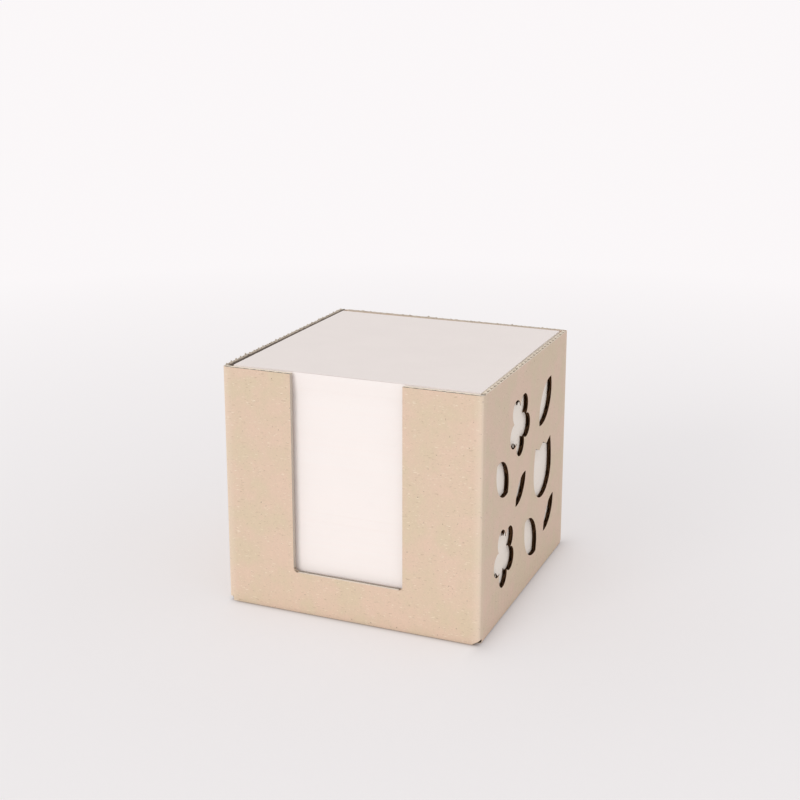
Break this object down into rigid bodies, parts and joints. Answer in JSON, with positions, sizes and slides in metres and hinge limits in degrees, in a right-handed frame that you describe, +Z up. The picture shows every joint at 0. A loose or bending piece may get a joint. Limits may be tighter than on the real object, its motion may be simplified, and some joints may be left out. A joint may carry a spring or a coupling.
{
  "type": "memo sheet holder",
  "caption": "Cube-shaped holder folded from thin corrugated board, with a finger window in front and flower cut-outs in one side, filled with loose square memo sheets.",
  "frame": {"origin": "middle of the base, on the surface that the holder stands on", "axes": "+Z up, -Y out of the front wall with the finger window, +X out of the wall with the flower cut-outs"},
  "size_m": [0.096, 0.0972, 0.0875],
  "materials": {
    "liner_board": "matt, fine fibres and flecks",
    "fluting_medium": "matt",
    "glue": "dried, dull",
    "memo_sheets": "matt white"
  },
  "bodies": {
    "holder": {"back_wall_fluting": "fluting_medium", "back_wall_inner_liner": "liner_board", "back_wall_outer_liner": "liner_board", "floor_panel_fluting": "fluting_medium", "floor_panel_inner_liner": "liner_board", "floor_panel_outer_liner": "liner_board", "front_wall_fluting": "fluting_medium", "front_wall_inner_liner": "liner_board", "front_wall_outer_liner": "liner_board", "left_flap_glue": "glue", "left_under_flap_fluting": "fluting_medium", "left_under_flap_inner_liner": "liner_board", "left_under_flap_outer_liner": "liner_board", "left_wall_fluting": "fluting_medium", "left_wall_inner_liner": "liner_board", "left_wall_outer_liner": "liner_board", "right_flap_glue": "glue", "right_under_flap_fluting": "fluting_medium", "right_under_flap_inner_liner": "liner_board", "right_under_flap_outer_liner": "liner_board", "right_wall_fluting": "fluting_medium", "right_wall_inner_liner": "liner_board", "right_wall_outer_liner": "liner_board", "seam_flap_fluting": "fluting_medium", "seam_flap_inner_liner": "liner_board", "seam_flap_outer_liner": "liner_board", "seam_glue": "glue", "tuck_flap_fluting": "fluting_medium", "tuck_flap_inner_liner": "liner_board", "tuck_flap_outer_liner": "liner_board"},
    "pile": {"sheet_pile": "memo_sheets"},
    "top_sheet": {"top_sheet": "memo_sheets"}
  },
  "joints": [
    {"name": "pile_lift", "type": "slide", "parent": "holder", "child": "pile", "axis": [0, 0, 1], "range_m": [0, 0.09]},
    {"name": "top_sheet_lift", "type": "slide", "parent": "pile", "child": "top_sheet", "axis": [0, 0, 1], "range_m": [0, 0.09]}
  ]
}
